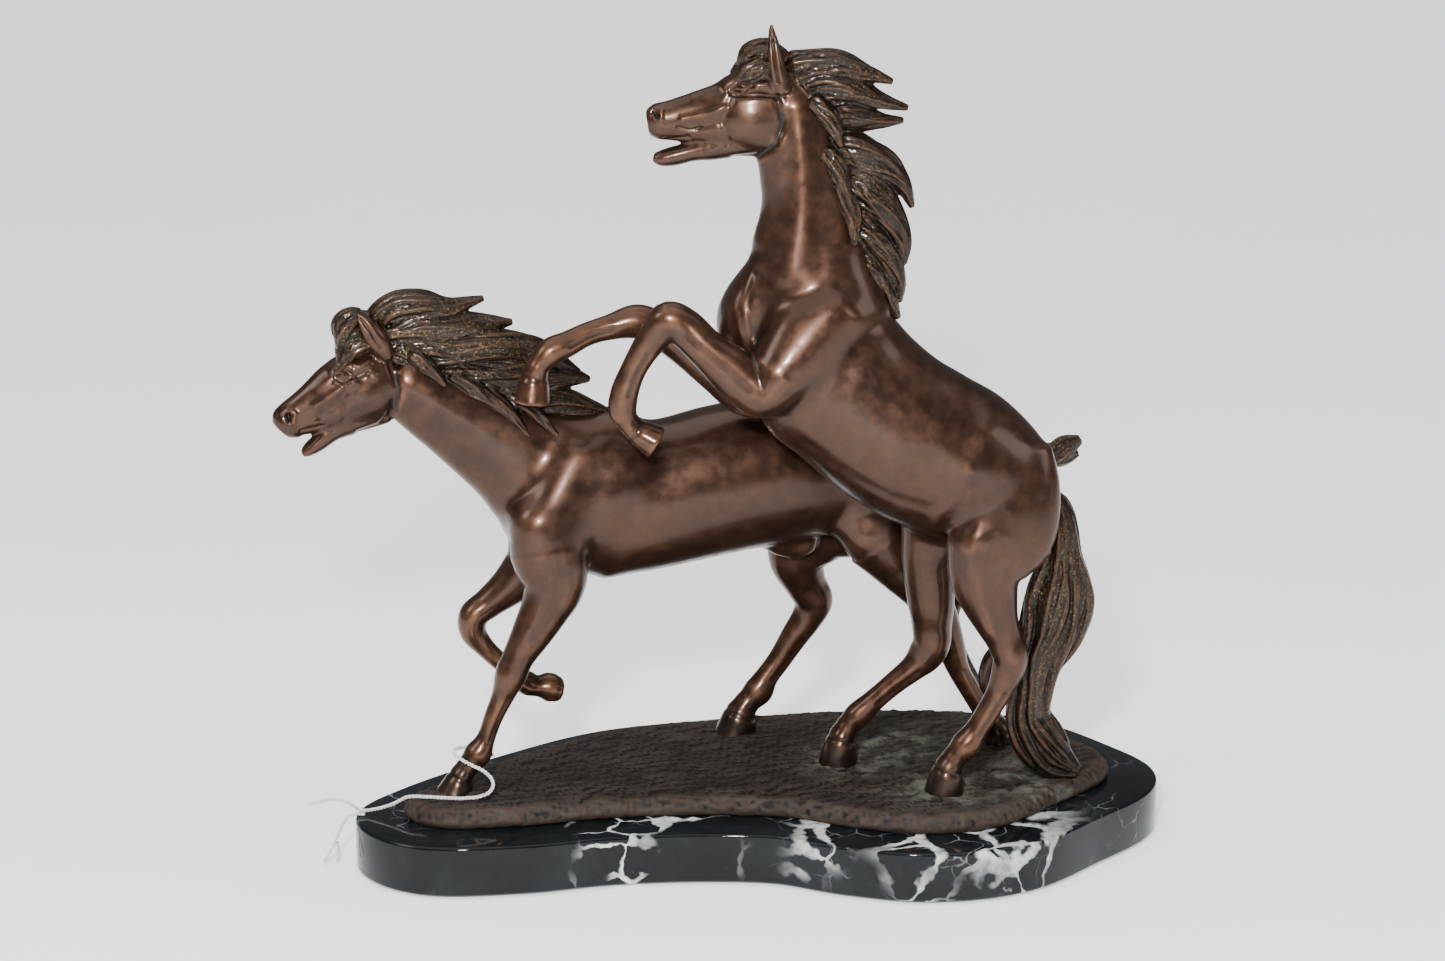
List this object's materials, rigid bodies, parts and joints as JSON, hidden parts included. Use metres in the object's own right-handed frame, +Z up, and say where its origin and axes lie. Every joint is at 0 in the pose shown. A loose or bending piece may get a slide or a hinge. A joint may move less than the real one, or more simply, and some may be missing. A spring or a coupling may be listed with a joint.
{
  "type": "horse_group_statuette",
  "caption": "Cast bronze statuette of a galloping horse and a rearing horse on a bronze ground, bolted to a freeform black marble base, with a cotton tag string.",
  "frame": {"origin": "middle of the flat underside that the statuette stands on, at the felt's lower face", "axes": "+Z up; -X is the way both horses face; -Y is towards the viewer, on the horses' left side"},
  "size_m": [0.415, 0.206, 0.3881],
  "materials": {
    "horse_bronze": "waxed reddish brown patina",
    "hair_bronze": "dark brown patina with olive recesses",
    "ground_bronze": "chiselled, dark brown-grey patina",
    "black_marble": "polished, white veins",
    "felt": "wool felt",
    "fastener_steel": "zinc plated",
    "cotton": "twisted cotton"
  },
  "bodies": {
    "root": {"base_felt": "felt", "marble_base": "black_marble", "bronze_ground": "ground_bronze", "mounting_stud_1": "fastener_steel", "stud_washer_1": "fastener_steel", "stud_nut_1": "fastener_steel", "mounting_stud_2": "fastener_steel", "stud_washer_2": "fastener_steel", "stud_nut_2": "fastener_steel", "mounting_stud_3": "fastener_steel", "stud_washer_3": "fastener_steel", "stud_nut_3": "fastener_steel", "running_body": "horse_bronze", "running_head": "horse_bronze", "running_left_foreleg": "horse_bronze", "running_right_foreleg": "horse_bronze", "running_left_hindleg": "horse_bronze", "running_right_hindleg": "horse_bronze", "running_mane": "hair_bronze", "running_forelock": "hair_bronze", "running_tail": "hair_bronze", "rearing_body": "horse_bronze", "rearing_head": "horse_bronze", "rearing_left_foreleg": "horse_bronze", "rearing_right_foreleg": "horse_bronze", "rearing_left_hindleg": "horse_bronze", "rearing_right_hindleg": "horse_bronze", "rearing_mane": "hair_bronze", "rearing_forelock": "hair_bronze", "rearing_tail": "hair_bronze", "tag_string_lead": "cotton", "tag_string_end": "cotton", "tag_string_tip": "cotton"}
  },
  "joints": []
}
